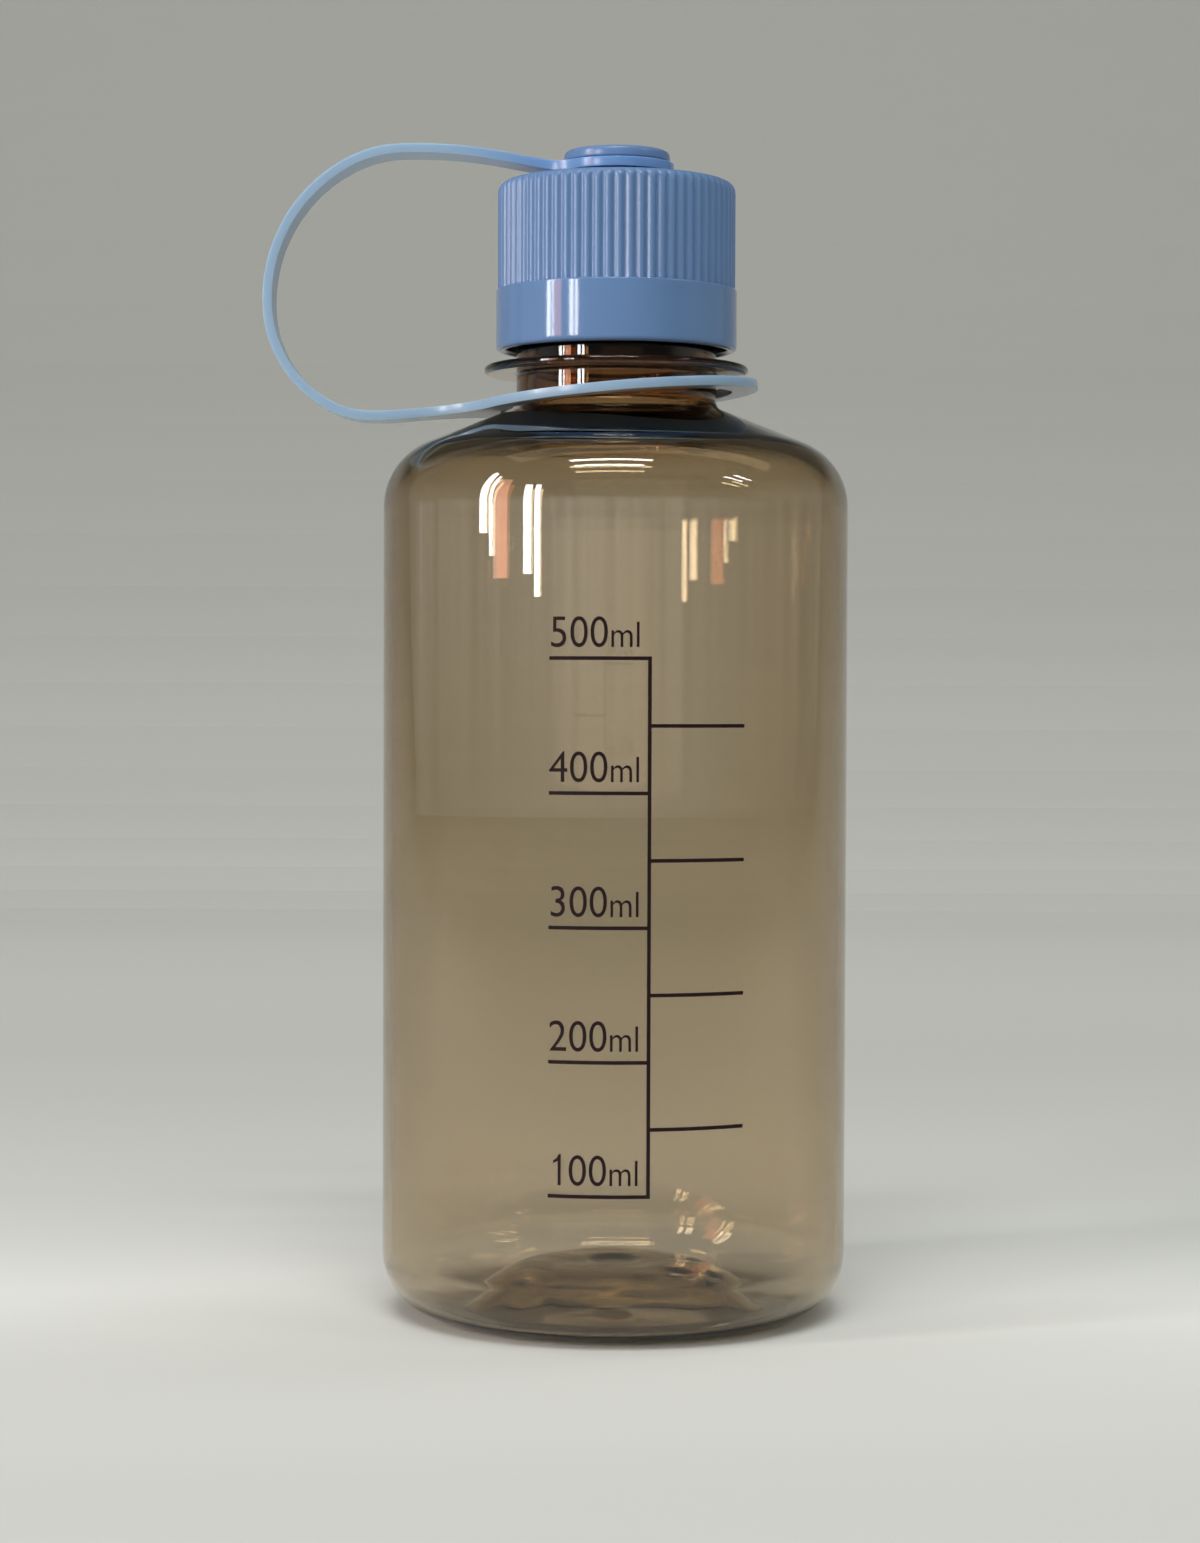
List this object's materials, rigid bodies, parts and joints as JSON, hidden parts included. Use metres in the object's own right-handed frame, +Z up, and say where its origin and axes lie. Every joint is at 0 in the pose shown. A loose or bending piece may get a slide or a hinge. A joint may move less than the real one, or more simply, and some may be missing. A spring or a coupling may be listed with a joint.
{
  "type": "tethered screw-cap bottle",
  "caption": "Clear tinted bottle with a pushed-up foot and a printed scale, a ribbed screw cap and a strap that ties the cap to the neck.",
  "frame": {"origin": "on the bottle's axis, in the plane of the ring that the foot stands on", "axes": "+Z up along the bottle's axis towards the cap; the scale faces -Y; the strap's loop stands out towards -X"},
  "size_m": [0.1006, 0.0801, 0.2008],
  "materials": {
    "tinted_wall": "clear, smoke-brown, glossy moulded wall",
    "ink": "dark screen-printed ink",
    "cap_plastic": "satin light blue moulding",
    "seal_rubber": "soft off-white ring",
    "strap_plastic": "soft, slightly see-through light blue moulding"
  },
  "bodies": {
    "bottle": {"bottle": "tinted_wall", "printed_scale": "ink"},
    "strap": {"strap": "strap_plastic"},
    "seal": {"sealing_ring": "seal_rubber"},
    "cap": {"cap": "cap_plastic"}
  },
  "joints": [
    {"name": "strap_swivel", "type": "hinge", "parent": "bottle", "child": "strap", "pos_m": [0, 0, 0.1578], "axis": [0, 0, 1], "continuous": true},
    {"name": "cap_lift", "type": "slide", "parent": "strap", "child": "seal", "axis": [0, 0, 1], "range_m": [0, 0.0063], "deforming": ["strap"]},
    {"name": "cap_turn", "type": "hinge", "parent": "seal", "child": "cap", "pos_m": [0, 0, 0.18], "axis": [0, 0, 1], "range_deg": [0, 540]}
  ],
  "couplings": [
    {"joint": "cap_lift", "follows": "cap_turn", "m_per_rad": 0.00066845}
  ]
}
